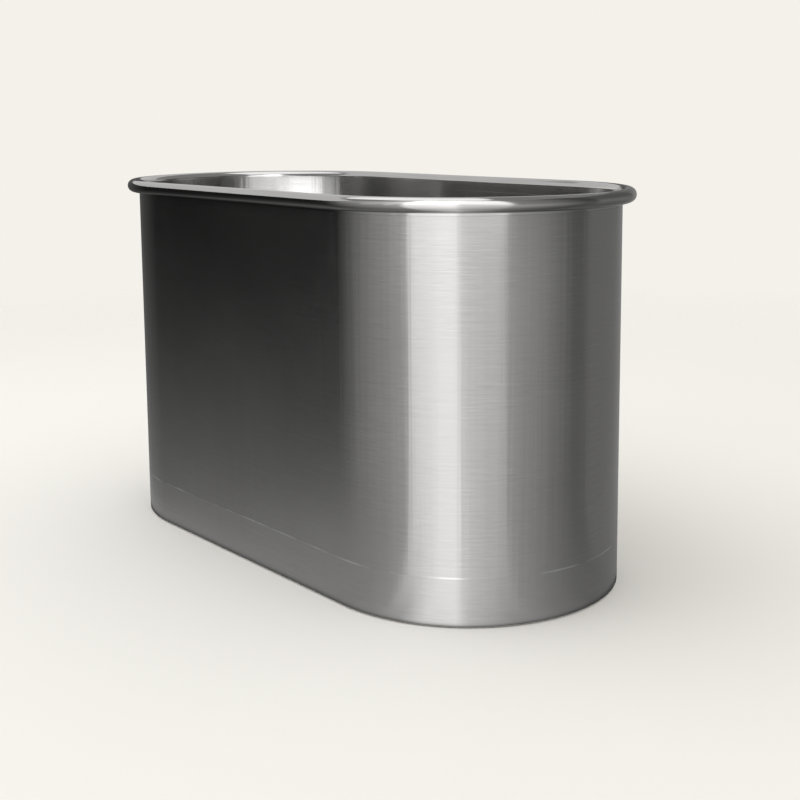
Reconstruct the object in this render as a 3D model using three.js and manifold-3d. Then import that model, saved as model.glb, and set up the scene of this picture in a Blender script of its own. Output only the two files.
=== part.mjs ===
// Cold plunge tub: a single-skin stainless steel tub with a round-ended plan and a rolled rim. Its raised
// floor stands on three channels, and a drain and two chiller ports with ball valves sit on the rear side.
// Millimetres, +Z up. The origin is on the ground under the middle of the tub. +X runs along the tub, and
// the rear side, which carries the valves, faces +Y.
import * as THREE from "three";
import { mergeVertices } from "three/addons/utils/BufferGeometryUtils.js";
import Module from "manifold-3d";

const wasm = await Module();
wasm.setup();

// Tub shell
const OVERALL_LENGTH = 1200;
const OVERALL_WIDTH = 600;
const OVERALL_HEIGHT = 700;
const WALL_SHEET = 1.5;
const BEAD_DIAMETER = 25;
const BEAD_LIP_GAP = 1;
const RIM_LEG = 5;
const BASE_FLANGE = 25;
const BASE_BEND = 4;
const FLOOR_HEIGHT = 84;
const FLOOR_SHEET = 2;
const FLOOR_FLANGE = 25;

// Floor supports: CHANNEL_OUTSET is how far the outer two stand past the ends of the straight sides
const CHANNEL_OUTSET = 30;
const CHANNEL_CROWN = 60;
const CHANNEL_BRIM = 20;
const CHANNEL_SHEET = 2;
const CHANNEL_END_GAP = 15;
const STRIP_THICKNESS = 10;

// Pipework sizes that the drain and both ports share
const PORT_BORE = 19;
const PIPE_WALL = 3.5;
const GASKET = 2;
const WASHER = 2;
const FLANGE_LAND = 9;
const BULKHEAD_FLANGE = 5;
const NUT_HEIGHT = 8;
const NUT_WALL = 6;

// Port places on the rear side: in from the ends of its straight length, and above the ground
const PORT_INSET = 135;
const SUCTION_HEIGHT = 175;
const RETURN_HEIGHT = 420;
const SCREEN_SHEET = 1.5;
const SCREEN_DEPTH = 12;
const SCREEN_CORNER = 6;
const SCREEN_SLOT = 3;
const SCREEN_SLOTS = 5;

// Floor drain
const BOWL_SLOPE = 13.5;
const GRATE_LAND = 11;
const GRATE_THICKNESS = 2;
const GRATE_SLOT = 4;
const GRATE_SLOTS = 5;
const DRAIN_RIM = 8;
const DRAIN_FLANGE_FLOOR = 0.9;
const DISH_MARGIN = 3;
const DISH_SLOPE = 15;
const SCREW_SHANK = 3;
const SCREW_HEAD = 6;
const SCREW_HEAD_HEIGHT = 2;
const SCREW_DEPTH = 2.5;
const ELBOW_WALL = 4;
const ELBOW_LEG = 12;
const ELBOW_THROAT = 5;
const GROMMET_WALL = 3;
const GROMMET_LIP = 4;

// Ball valve
const BALL_LAND = 5.5;
const SEAT_LIP = 3;
const BODY_WALL = 4;
const BODY_SHOULDER = 2;
const SOCKET_DEPTH = 14;
const STEM_DIAMETER = 10;
const STEM_SHOULDER = 1.5;
const TANG_FLAT = 2.5;
const TANG_DEPTH = 4;
const BOSS_HEIGHT = 8;
const GLAND_HEIGHT = 6;
const GLAND_WALL = 5;
const HANDLE_LENGTH = 95;
const HANDLE_WIDTH = 16;
const HANDLE_SHEET = 3;
const EYE_FLARE = 4;
const GRIP_CLEAR = 21;
const GRIP_WALL = 2.5;
const HANDLE_NUT_HEIGHT = 5;
const HANDLE_NUT_WALL = 3.5;
const POST_PROUD = 1.5;

// Hose tail
const TAIL_WALL = 1.8;
const BARB_HEIGHT = 2.4;
const BARB_PITCH = 9;
const BARBS = 3;
const COLLAR_HEIGHT = 7;

// FIT is the gap between pieces that touch, and OVERSHOOT how far a cutter reaches past what it cuts
const FIT = 0.3;
const OVERSHOOT = 5;
const ARC_SEGMENTS = 24;
const ROUND_SEGMENTS = 20;
const BEND_SEGMENTS = 3;
const BEAD_SEGMENTS = 6;

// Worked-out sizes of the shell
const beadRadius = BEAD_DIAMETER / 2;
const halfStraight = (OVERALL_LENGTH - OVERALL_WIDTH) / 2;
const innerRadius = OVERALL_WIDTH / 2 - BEAD_DIAMETER;
const beadCentre = OVERALL_HEIGHT - beadRadius;
const rimBottom = OVERALL_HEIGHT - BEAD_DIAMETER - RIM_LEG;
const floorUnderside = FLOOR_HEIGHT - FLOOR_SHEET;

// Worked-out sizes of the pipework
const boreRadius = PORT_BORE / 2;
const threadRadius = boreRadius + PIPE_WALL;
const portHole = threadRadius + FIT;
const portX = halfStraight - PORT_INSET;
const nutAcrossFlats = 2 * (threadRadius + NUT_WALL);
const flangeRadius = threadRadius + FLANGE_LAND;
const washerStart = WALL_SHEET + FIT;
const nutStart = washerStart + WASHER + FIT;
const valveInlet = nutStart + NUT_HEIGHT + FIT;

// Worked-out sizes of the drain, from the floor down to its pipe
const channelX = halfStraight + CHANNEL_OUTSET;
const drainX = -channelX / 2;
const bowlRadius = boreRadius + BOWL_SLOPE;
const grateRadius = bowlRadius + GRATE_LAND;
const screwCircle = bowlRadius + GRATE_LAND / 2;
const drainRadius = grateRadius + DRAIN_RIM;
const grateSeat = DRAIN_FLANGE_FLOOR + FIT + SCREW_DEPTH;
const drainFlange = grateSeat + FIT + GRATE_THICKNESS;
const dishDepth = GASKET + drainFlange + 2 * FIT;
const dishUnderside = floorUnderside - dishDepth;
const dishTop = dishUnderside + FLOOR_SHEET;
const drainFlangeBottom = dishTop + GASKET + 2 * FIT;
const drainNutBottom = dishUnderside - FIT - NUT_HEIGHT;
const elbowTop = drainNutBottom - FIT;
const elbowBore = threadRadius + FIT;
const elbowRadius = elbowBore + ELBOW_WALL;
const elbowBend = elbowRadius + ELBOW_THROAT;
const pipeHeight = elbowTop - ELBOW_LEG - elbowBend;
const skirtHole = threadRadius + FIT + GROMMET_WALL + FIT;

// Worked-out sizes of the ball valve, about its own middle
const ballRadius = boreRadius + BALL_LAND;
const cavityRadius = ballRadius + 2 * FIT;
const seatBore = boreRadius + FIT;
const seatBack = Math.sqrt(ballRadius ** 2 - seatBore ** 2) + 2 * FIT + SEAT_LIP;
const cavityHalf = seatBack + FIT;
const socketRadius = threadRadius + FIT;
const bodyEndRadius = socketRadius + BODY_WALL;
const bodyRadius = Math.max(cavityRadius, socketRadius) + BODY_WALL;
const socketStart = cavityHalf + BODY_SHOULDER;
const bodyHalf = socketStart + SOCKET_DEPTH;
const stemRadius = STEM_DIAMETER / 2;
const stemBore = stemRadius + FIT;
const postRadius = stemRadius - STEM_SHOULDER;
const tangWidth = STEM_DIAMETER - 2 * TANG_FLAT;
const bossTop = bodyRadius + BOSS_HEIGHT;
const glandTop = bossTop + FIT + GLAND_HEIGHT;
const handleSeat = glandTop + FIT;
const handleTop = handleSeat + FIT + HANDLE_SHEET;
const handleNutTop = handleTop + FIT + HANDLE_NUT_HEIGHT;
const eyeRadius = HANDLE_WIDTH / 2 + EYE_FLARE;

// Materials
const steel = (name, color, roughness) =>
  new THREE.MeshStandardMaterial({ name, color, roughness, metalness: 1 });
const soft = (name, color, roughness) =>
  new THREE.MeshStandardMaterial({ name, color, roughness, metalness: 0 });
const brushedSteel = steel("brushed_steel", 0xa8a8a6, 0.34);
const polishedSteel = steel("polished_steel", 0xbcbcba, 0.18);
const millSteel = steel("mill_steel", 0x9b9c9c, 0.45);
const castSteel = steel("cast_steel", 0xa3a29f, 0.4);
const rubber = soft("rubber", 0x1c1c1d, 0.8);
const seatPlastic = soft("seat_plastic", 0xeceae4, 0.5);
const gripVinyl = soft("grip_vinyl", 0x1f4f8f, 0.45);

// Solids from geometries and back, for booleans
function solid(geometry) {
  const bare = geometry.clone();
  bare.deleteAttribute("normal");
  bare.deleteAttribute("uv");
  const merged = mergeVertices(bare);
  const vertProperties = merged.attributes.position.array;
  const triVerts = new Uint32Array(merged.index.array);
  return new wasm.Manifold(new wasm.Mesh({ numProp: 3, vertProperties, triVerts }));
}

function geometryOf(body) {
  const mesh = body.getMesh();
  return new THREE.BufferGeometry()
    .setAttribute("position", new THREE.BufferAttribute(mesh.vertProperties, 3))
    .setIndex(new THREE.BufferAttribute(mesh.triVerts, 1));
}

// A piece turned about +Y. A profile of [radius, height] points that touches the axis runs from axis to
// axis, and any other profile closes on itself.
function turned(points) {
  const profile = points.map(([radius, height]) => new THREE.Vector2(radius, height));
  if (THREE.ShapeUtils.isClockWise(profile)) profile.reverse();
  if (profile[0].x > 0) profile.push(profile[0].clone());
  return new THREE.LatheGeometry(profile, ROUND_SEGMENTS);
}

const upright = (geometry) => geometry.rotateX(Math.PI / 2);

const ring = (inner, outer, start, end) =>
  turned([[inner, start], [outer, start], [outer, end], [inner, end]]);

function rod(radius, start, end) {
  const cylinder = new THREE.CylinderGeometry(radius, radius, end - start, ROUND_SEGMENTS);
  return cylinder.translate(0, (start + end) / 2, 0);
}

const block = (x, y, z) => new THREE.BoxGeometry(x, y, z);

function hexPrism(acrossFlats, start, end) {
  const corner = acrossFlats / Math.sqrt(3);
  return new THREE.CylinderGeometry(corner, corner, end - start, 6).translate(0, (start + end) / 2, 0);
}

function hexNut(acrossFlats, bore, start, end) {
  const cutter = solid(rod(bore, start - OVERSHOOT, end + OVERSHOOT));
  return geometryOf(solid(hexPrism(acrossFlats, start, end)).subtract(cutter));
}

function arcPoints(centreX, centreY, radius, from, to, segments) {
  return Array.from({ length: segments + 1 }, (_, i) => {
    const angle = from + ((to - from) * i) / segments;
    return [centreX + radius * Math.cos(angle), centreY + radius * Math.sin(angle)];
  });
}

// The tub's round-ended plan outline, counter-clockwise
function tubOutline(radius) {
  return [1, -1].flatMap((end) =>
    arcPoints(0, 0, radius, (-end * Math.PI) / 2, Math.PI - (end * Math.PI) / 2, ARC_SEGMENTS).map(
      ([x, y]) => new THREE.Vector2(x + end * halfStraight, y),
    ),
  );
}

// A section of [outward from the wall's inner face, height] points, carried once round the tub
function roundTheTub(section) {
  const profile = section.map(([outward, height]) => new THREE.Vector2(outward, height));
  if (THREE.ShapeUtils.isClockWise(profile)) profile.reverse();
  const loops = profile.map((point) => tubOutline(innerRadius + point.x));
  const around = loops[0].length;
  const positions = [];
  const indices = [];
  loops.forEach((loop, j) => {
    const above = ((j + 1) % loops.length) * around;
    loop.forEach((point, i) => {
      const next = (i + 1) % around;
      positions.push(point.x, point.y, profile[j].y);
      indices.push(j * around + i, j * around + next, above + next);
      indices.push(j * around + i, above + next, above + i);
    });
  });
  return new THREE.BufferGeometry()
    .setAttribute("position", new THREE.Float32BufferAttribute(positions, 3))
    .setIndex(indices);
}

function tubPlate(radius, bottom, top) {
  const shape = new THREE.Shape(tubOutline(radius));
  const plate = new THREE.ExtrudeGeometry(shape, { depth: top - bottom, bevelEnabled: false });
  return plate.translate(0, 0, bottom);
}

function addPiece(parent, name, geometry, material, x = 0, y = 0, z = 0) {
  const mesh = new THREE.Mesh(geometry, material.clone());
  mesh.name = name;
  mesh.position.set(x, y, z);
  parent.add(mesh);
}

// Wall: one wrapped sheet with its foot turned inwards, and the holes for both ports and the drain pipe
function wallGeometry() {
  const bendCentre = WALL_SHEET - BASE_BEND;
  const down = -Math.PI / 2;
  const section = [
    [-BASE_FLANGE, 0],
    ...arcPoints(bendCentre, BASE_BEND, BASE_BEND, down, 0, BEND_SEGMENTS),
    [WALL_SHEET, rimBottom - FIT],
    [0, rimBottom - FIT],
    ...arcPoints(bendCentre, BASE_BEND, BASE_BEND - WALL_SHEET, 0, down, BEND_SEGMENTS),
    [-BASE_FLANGE, WALL_SHEET],
  ];
  const hole = (radius, x, z) =>
    solid(rod(radius, innerRadius - OVERSHOOT, innerRadius + WALL_SHEET + OVERSHOOT).translate(x, 0, z));
  return geometryOf(
    solid(roundTheTub(section))
      .subtract(hole(portHole, portX, SUCTION_HEIGHT))
      .subtract(hole(portHole, -portX, RETURN_HEIGHT))
      .subtract(hole(skirtHole, drainX, pipeHeight)),
  );
}

// Rim: a strip rolled outwards into an open bead, with a short leg that stands on the wall
function rimGeometry() {
  const lip = -Math.acos((WALL_SHEET + BEAD_LIP_GAP - beadRadius) / beadRadius);
  const curl = (radius) => [
    ...arcPoints(beadRadius, beadCentre, radius, Math.PI, 0, BEAD_SEGMENTS),
    ...arcPoints(beadRadius, beadCentre, radius, 0, lip, BEAD_SEGMENTS).slice(1),
  ];
  const section = [
    [0, rimBottom],
    ...curl(beadRadius),
    ...curl(beadRadius - WALL_SHEET).reverse(),
    [WALL_SHEET, rimBottom],
  ];
  return roundTheTub(section);
}

// Floor: a plate with its edge turned down inside the wall, pressed into a dish round the drain
function floorGeometry() {
  const edge = innerRadius - FIT;
  const dishFlat = drainRadius + DISH_MARGIN;
  const dishEdge = dishFlat + DISH_SLOPE;
  const dish = upright(
    turned([
      [portHole, -dishDepth],
      [dishFlat, -dishDepth],
      [dishEdge, 0],
      [dishEdge + FLOOR_SHEET, 0],
      [dishEdge + FLOOR_SHEET, -FLOOR_SHEET],
      [dishEdge, -FLOOR_SHEET],
      [dishFlat, -FLOOR_SHEET - dishDepth],
      [portHole, -FLOOR_SHEET - dishDepth],
    ]),
  ).translate(drainX, 0, FLOOR_HEIGHT);
  const opening = upright(rod(dishEdge, -OVERSHOOT, OVERSHOOT)).translate(drainX, 0, FLOOR_HEIGHT);
  const flangeBottom = FLOOR_HEIGHT - FLOOR_FLANGE;
  return geometryOf(
    solid(tubPlate(edge, flangeBottom, FLOOR_HEIGHT))
      .subtract(solid(tubPlate(edge - FLOOR_SHEET, flangeBottom - OVERSHOOT, floorUnderside)))
      .subtract(solid(opening))
      .add(solid(dish)),
  );
}

// Half the length that a support can have at a distance along the tub, inside the wall's turned-in foot
function supportHalfLength(x) {
  const beyond = Math.max(0, Math.abs(x) + CHANNEL_CROWN / 2 + CHANNEL_BRIM - halfStraight);
  return Math.sqrt((innerRadius - BASE_FLANGE) ** 2 - beyond ** 2) - CHANNEL_END_GAP;
}

// Support channel: a folded hat section across the tub, with its crown under the floor
function channelGeometry(length) {
  const crown = CHANNEL_CROWN / 2;
  const foot = crown + CHANNEL_BRIM;
  const bottom = STRIP_THICKNESS + FIT;
  const top = floorUnderside - FIT;
  const half = [
    [foot, bottom],
    [foot, bottom + CHANNEL_SHEET],
    [crown, bottom + CHANNEL_SHEET],
    [crown, top],
  ];
  const innerHalf = [
    [crown - CHANNEL_SHEET, top - CHANNEL_SHEET],
    [crown - CHANNEL_SHEET, bottom],
  ];
  const mirrored = (points) => points.map(([x, z]) => [-x, z]).reverse();
  const outline = [...half, ...mirrored(half), ...mirrored(innerHalf), ...innerHalf];
  const shape = new THREE.Shape(outline.map(([x, z]) => new THREE.Vector2(x, z)));
  const channel = new THREE.ExtrudeGeometry(shape, { depth: length, bevelEnabled: false });
  return upright(channel).translate(0, length / 2, 0);
}

function buildShell(tub) {
  addPiece(tub, "tub_wall", wallGeometry(), brushedSteel);
  addPiece(tub, "rim_bead", rimGeometry(), polishedSteel);
  addPiece(tub, "floor_pan", floorGeometry(), brushedSteel);
  const stripWidth = CHANNEL_CROWN + 2 * CHANNEL_BRIM;
  const places = { left: -channelX, middle: 0, right: channelX };
  for (const [side, x] of Object.entries(places)) {
    const length = 2 * supportHalfLength(x);
    addPiece(tub, `support_channel_${side}`, channelGeometry(length), millSteel, x);
    const strip = block(stripWidth, length, STRIP_THICKNESS);
    addPiece(tub, `foot_strip_${side}`, strip, rubber, x, 0, STRIP_THICKNESS / 2);
  }
}

// A cutter at each grate screw's place, along +Y
function screwHoles(start, end) {
  const hole = () => rod(SCREW_SHANK / 2 + FIT, start, end);
  return solid(hole().translate(screwCircle, 0, 0)).add(solid(hole().translate(-screwCircle, 0, 0)));
}

// Drain body: a flange with a shallow bowl and a seat for the grate, on a tail that passes the floor
function drainBodyGeometry() {
  const seat = grateRadius + FIT;
  const tailBottom = elbowTop - ELBOW_LEG + FIT - drainFlangeBottom;
  const body = turned([
    [boreRadius, tailBottom],
    [threadRadius, tailBottom],
    [threadRadius, 0],
    [drainRadius, 0],
    [drainRadius, drainFlange],
    [seat, drainFlange],
    [seat, grateSeat],
    [bowlRadius, grateSeat],
    [boreRadius, 0],
  ]);
  const holes = screwHoles(DRAIN_FLANGE_FLOOR, drainFlange + OVERSHOOT);
  return upright(geometryOf(solid(body).subtract(holes)));
}

// Parallel slots inside a circle, as cutters that run through along Y
function slotCutters(count, width, radius, depth) {
  const pitch = (2 * radius) / count;
  const cutters = Array.from({ length: count }, (_, i) => {
    const x = (i - (count - 1) / 2) * pitch;
    const length = 2 * Math.sqrt(radius ** 2 - (Math.abs(x) + width / 2) ** 2);
    return solid(block(width, depth, length).translate(x, 0, 0));
  });
  return cutters.reduce((all, cutter) => all.add(cutter));
}

function grateGeometry() {
  const slots = slotCutters(GRATE_SLOTS, GRATE_SLOT, bowlRadius, 2 * GRATE_THICKNESS + OVERSHOOT);
  return upright(
    geometryOf(
      solid(rod(grateRadius, 0, GRATE_THICKNESS))
        .subtract(slots)
        .subtract(screwHoles(-OVERSHOOT, GRATE_THICKNESS + OVERSHOOT)),
    ),
  );
}

function screwGeometry() {
  const shank = SCREW_SHANK / 2;
  const head = SCREW_HEAD / 2;
  const end = -GRATE_THICKNESS - FIT - SCREW_DEPTH;
  const crown = head - SCREW_HEAD_HEIGHT / 2;
  return upright(
    turned([
      [0, end],
      [shank, end],
      [shank, FIT],
      [head, FIT],
      [head, FIT + SCREW_HEAD_HEIGHT / 2],
      [crown, FIT + SCREW_HEAD_HEIGHT],
      [0, FIT + SCREW_HEAD_HEIGHT],
    ]),
  );
}

// Elbow: a slip bend from straight down to straight out to the rear
function elbowGeometry() {
  const point = (y, z) => new THREE.Vector3(0, y, z);
  const bendTop = elbowTop - ELBOW_LEG;
  const handle = elbowBend * (4 / 3) * (Math.SQRT2 - 1);
  const path = new THREE.CurvePath();
  path.add(new THREE.LineCurve3(point(0, elbowTop), point(0, bendTop)));
  path.add(
    new THREE.CubicBezierCurve3(
      point(0, bendTop),
      point(0, bendTop - handle),
      point(elbowBend - handle, pipeHeight),
      point(elbowBend, pipeHeight),
    ),
  );
  path.add(new THREE.LineCurve3(point(elbowBend, pipeHeight), point(elbowBend + ELBOW_LEG, pipeHeight)));
  const section = new THREE.Shape().absarc(0, 0, elbowRadius, 0, 2 * Math.PI);
  section.holes.push(new THREE.Path().absarc(0, 0, elbowBore, 0, 2 * Math.PI));
  return new THREE.ExtrudeGeometry(section, {
    extrudePath: path,
    steps: ROUND_SEGMENTS / 2,
    curveSegments: ROUND_SEGMENTS / 2,
    bevelEnabled: false,
  });
}

// Grommet: a rubber ring that grips the edge of the hole in the wall's skirt
function grommetGeometry() {
  const bore = threadRadius + FIT;
  const neck = bore + GROMMET_WALL;
  const lip = neck + GROMMET_LIP;
  return turned([
    [bore, -FIT - GROMMET_WALL],
    [lip, -FIT - GROMMET_WALL],
    [lip, -FIT],
    [neck, -FIT],
    [neck, WALL_SHEET + FIT],
    [lip, WALL_SHEET + FIT],
    [lip, WALL_SHEET + FIT + GROMMET_WALL],
    [bore, WALL_SHEET + FIT + GROMMET_WALL],
  ]);
}

// Floor drain: gasket, body, screwed-down grate, locknut, slip elbow, pipe, grommet and valve
function buildDrain(tub) {
  const grateBottom = drainFlangeBottom + grateSeat + FIT;
  const drain = new THREE.Group();
  drain.position.x = drainX;
  tub.add(drain);
  const gasket = upright(ring(portHole, drainRadius, 0, GASKET));
  addPiece(drain, "drain_gasket", gasket, rubber, 0, 0, dishTop + FIT);
  addPiece(drain, "drain_body", drainBodyGeometry(), castSteel, 0, 0, drainFlangeBottom);
  addPiece(drain, "drain_grate", grateGeometry(), polishedSteel, 0, 0, grateBottom);
  const grateTop = grateBottom + GRATE_THICKNESS;
  for (const [side, x] of Object.entries({ left: -screwCircle, right: screwCircle })) {
    addPiece(drain, `grate_screw_${side}`, screwGeometry(), polishedSteel, x, 0, grateTop);
  }
  const locknut = upright(hexNut(nutAcrossFlats, portHole, 0, NUT_HEIGHT));
  addPiece(drain, "drain_locknut", locknut, castSteel, 0, 0, drainNutBottom);
  addPiece(drain, "drain_elbow", elbowGeometry(), castSteel);
  const pipeEnd = innerRadius + valveInlet + SOCKET_DEPTH - FIT;
  const pipe = ring(boreRadius, threadRadius, elbowBend + FIT, pipeEnd);
  addPiece(drain, "drain_pipe", pipe, millSteel, 0, 0, pipeHeight);
  addPiece(drain, "skirt_grommet", grommetGeometry(), rubber, 0, innerRadius, pipeHeight);
  addValve(drain, "drain", 0, pipeHeight);
}

// Ball valve: its flow runs along +Y and its stem along +Z. It is stored shut, with the lever along +X.
function valveBodyGeometry() {
  const neck = socketStart + BODY_SHOULDER;
  const outside = turned([
    [0, -bodyHalf],
    [bodyEndRadius, -bodyHalf],
    [bodyEndRadius, -neck],
    [bodyRadius, -cavityHalf],
    [bodyRadius, cavityHalf],
    [bodyEndRadius, neck],
    [bodyEndRadius, bodyHalf],
    [0, bodyHalf],
  ]);
  const inside = turned([
    [0, -bodyHalf - OVERSHOOT],
    [socketRadius, -bodyHalf - OVERSHOOT],
    [socketRadius, -socketStart],
    [boreRadius, -socketStart],
    [boreRadius, -cavityHalf],
    [cavityRadius, -cavityHalf],
    [cavityRadius, cavityHalf],
    [boreRadius, cavityHalf],
    [boreRadius, socketStart],
    [socketRadius, socketStart],
    [socketRadius, bodyHalf + OVERSHOOT],
    [0, bodyHalf + OVERSHOOT],
  ]);
  const boss = upright(rod(stemBore + BODY_WALL, 0, bossTop));
  const stemHole = upright(rod(stemBore, 0, bossTop + OVERSHOOT));
  return geometryOf(solid(outside).add(solid(boss)).subtract(solid(inside)).subtract(solid(stemHole)));
}

function ballGeometry() {
  const length = 2 * ballRadius + OVERSHOOT;
  const bore = rod(boreRadius, -length / 2, length / 2).rotateZ(Math.PI / 2);
  const slot = block(tangWidth + 2 * FIT, length, 2 * TANG_DEPTH).translate(0, 0, ballRadius);
  const sphere = new THREE.SphereGeometry(ballRadius, ROUND_SEGMENTS, ROUND_SEGMENTS / 2);
  return geometryOf(solid(sphere).subtract(solid(bore)).subtract(solid(slot)));
}

function stemGeometry() {
  const shaftBottom = ballRadius + FIT;
  const postTop = handleNutTop + POST_PROUD;
  const shaft = turned([
    [0, shaftBottom],
    [stemRadius, shaftBottom],
    [stemRadius, handleSeat],
    [postRadius, handleSeat],
    [postRadius, postTop],
    [0, postTop],
  ]);
  const tangBottom = ballRadius - TANG_DEPTH + FIT;
  const tangTop = shaftBottom + FIT;
  const tangLength = Math.sqrt(STEM_DIAMETER ** 2 - tangWidth ** 2) - FIT;
  const tang = block(tangWidth, tangLength, tangTop - tangBottom);
  tang.translate(0, 0, (tangBottom + tangTop) / 2);
  return geometryOf(solid(upright(shaft)).add(solid(tang)));
}

// A seat ring whose cone faces the ball, on the side that sign points to
function seatGeometry(sign) {
  const coneEdge = (seatBore + ballRadius) / 2;
  const front = Math.sqrt(ballRadius ** 2 - coneEdge ** 2) + 2 * FIT;
  const profile = [
    [seatBore, seatBack - SEAT_LIP],
    [coneEdge, front],
    [ballRadius, front],
    [ballRadius, seatBack],
    [seatBore, seatBack],
  ];
  return turned(profile.map(([radius, y]) => [radius, sign * y]));
}

// Lever: a flat strip with an eye round the stem's post
function handleGeometry() {
  const half = HANDLE_WIDTH / 2;
  const join = Math.asin(half / eyeRadius);
  const shape = new THREE.Shape();
  shape.absarc(0, 0, eyeRadius, join, 2 * Math.PI - join);
  shape.absarc(HANDLE_LENGTH - half, 0, half, -Math.PI / 2, Math.PI / 2);
  shape.holes.push(new THREE.Path().absarc(0, 0, postRadius + FIT, 0, 2 * Math.PI));
  return new THREE.ExtrudeGeometry(shape, {
    depth: HANDLE_SHEET,
    curveSegments: ROUND_SEGMENTS / 2,
    bevelEnabled: false,
  });
}

function roundedBar(length, width, height, corner) {
  const x = width / 2 - corner;
  const y = height / 2 - corner;
  const quarter = Math.PI / 2;
  const shape = new THREE.Shape();
  shape.absarc(x, y, corner, 0, quarter);
  shape.absarc(-x, y, corner, quarter, 2 * quarter);
  shape.absarc(-x, -y, corner, 2 * quarter, 3 * quarter);
  shape.absarc(x, -y, corner, 3 * quarter, 4 * quarter);
  const options = { depth: length, curveSegments: BEND_SEGMENTS, bevelEnabled: false };
  return new THREE.ExtrudeGeometry(shape, options).rotateX(quarter).rotateZ(quarter);
}

// Grip: a dipped vinyl sleeve with a blind slot that takes the lever's end
function gripGeometry() {
  const width = HANDLE_WIDTH + 2 * (FIT + GRIP_WALL);
  const height = HANDLE_SHEET + 2 * (FIT + GRIP_WALL);
  const start = eyeRadius + GRIP_CLEAR;
  const pocketEnd = HANDLE_LENGTH + FIT;
  const pocket = pocketEnd - start + OVERSHOOT;
  const slot = block(pocket, HANDLE_WIDTH + 2 * FIT, HANDLE_SHEET + 2 * FIT);
  slot.translate(pocketEnd - pocket / 2, 0, 0);
  const sleeve = roundedBar(pocketEnd + GRIP_WALL - start, width, height, height / 2 - FIT);
  return geometryOf(solid(sleeve.translate(start, 0, 0)).subtract(solid(slot)));
}

// Hose tail: a threaded shank in the valve, a hexagon to turn it by, and barbs for the hose
function hoseTailGeometry() {
  const root = boreRadius + TAIL_WALL;
  const barb = root + BARB_HEIGHT;
  const shankStart = FIT - SOCKET_DEPTH;
  const collarEnd = FIT + COLLAR_HEIGHT;
  const barbs = Array.from({ length: BARBS }, (_, i) => {
    const start = collarEnd + BARB_PITCH * (i + 0.5);
    return [
      [root, start],
      [barb, start],
      [root, start + BARB_PITCH],
    ];
  }).flat();
  const end = collarEnd + BARB_PITCH * (BARBS + 0.5);
  const outside = turned([
    [0, shankStart],
    [threadRadius, shankStart],
    [threadRadius, collarEnd],
    [root, collarEnd],
    ...barbs,
    [0, end],
  ]);
  const collar = hexPrism(nutAcrossFlats, FIT, collarEnd);
  const bore = rod(boreRadius, shankStart - OVERSHOOT, end + OVERSHOOT);
  return geometryOf(solid(outside).add(solid(collar)).subtract(solid(bore)));
}

function addValve(parent, port, x, z) {
  const valve = new THREE.Group();
  valve.position.set(x, innerRadius + valveInlet + bodyHalf, z);
  parent.add(valve);
  const add = (piece, geometry, material, ...place) =>
    addPiece(valve, `${port}_${piece}`, geometry, material, ...place);
  add("valve_body", valveBodyGeometry(), castSteel);
  add("valve_ball", ballGeometry(), polishedSteel);
  add("valve_stem", stemGeometry(), polishedSteel);
  add("valve_seat_inlet", seatGeometry(-1), seatPlastic);
  add("valve_seat_outlet", seatGeometry(1), seatPlastic);
  const glandFlats = STEM_DIAMETER + 2 * GLAND_WALL;
  add("valve_gland", upright(hexNut(glandFlats, stemBore, bossTop + FIT, glandTop)), castSteel);
  add("valve_lever", handleGeometry(), polishedSteel, 0, 0, handleSeat + FIT);
  add("valve_grip", gripGeometry(), gripVinyl, 0, 0, handleSeat + FIT + HANDLE_SHEET / 2);
  const leverNutFlats = 2 * (postRadius + HANDLE_NUT_WALL);
  const leverNut = hexNut(leverNutFlats, postRadius + FIT, handleTop + FIT, handleNutTop);
  add("valve_lever_nut", upright(leverNut), polishedSteel);
  add("hose_tail", hoseTailGeometry(), castSteel, 0, bodyHalf, 0);
}

// Chiller port: a bulkhead fitting clamped through the wall, a slotted screen inside and a valve outside
function bulkheadGeometry() {
  const flangeEnd = -2 * FIT - GASKET;
  return turned([
    [boreRadius, flangeEnd - BULKHEAD_FLANGE],
    [flangeRadius, flangeEnd - BULKHEAD_FLANGE],
    [flangeRadius, flangeEnd],
    [threadRadius, flangeEnd],
    [threadRadius, valveInlet + SOCKET_DEPTH - FIT],
    [boreRadius, valveInlet + SOCKET_DEPTH - FIT],
  ]);
}

function screenGeometry() {
  const inner = flangeRadius + FIT;
  const outer = inner + SCREEN_SHEET;
  const bottom = -2 * FIT - GASKET - BULKHEAD_FLANGE - SCREEN_DEPTH;
  const cup = turned([
    [0, bottom],
    [outer - SCREEN_CORNER, bottom],
    [outer, bottom + SCREEN_CORNER],
    [outer, -FIT],
    [inner, -FIT],
    [inner, bottom + SCREEN_CORNER],
    [outer - SCREEN_CORNER, bottom + SCREEN_SHEET],
    [0, bottom + SCREEN_SHEET],
  ]);
  const face = outer - SCREEN_CORNER;
  const slots = slotCutters(SCREEN_SLOTS, SCREEN_SLOT, face, 2 * SCREEN_SHEET + OVERSHOOT);
  return geometryOf(solid(cup).subtract(slots.translate([0, bottom, 0])));
}

function buildPort(tub, name, x, z) {
  const port = new THREE.Group();
  port.position.set(x, innerRadius, z);
  tub.add(port);
  addPiece(port, `${name}_bulkhead`, bulkheadGeometry(), castSteel);
  addPiece(port, `${name}_gasket`, ring(portHole, flangeRadius, -FIT - GASKET, -FIT), rubber);
  const washer = ring(portHole, flangeRadius, washerStart, washerStart + WASHER);
  addPiece(port, `${name}_washer`, washer, polishedSteel);
  const locknut = hexNut(nutAcrossFlats, portHole, nutStart, nutStart + NUT_HEIGHT);
  addPiece(port, `${name}_locknut`, locknut, castSteel);
  addPiece(port, `${name}_screen`, screenGeometry(), polishedSteel);
  addValve(tub, name, x, z);
}

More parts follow.
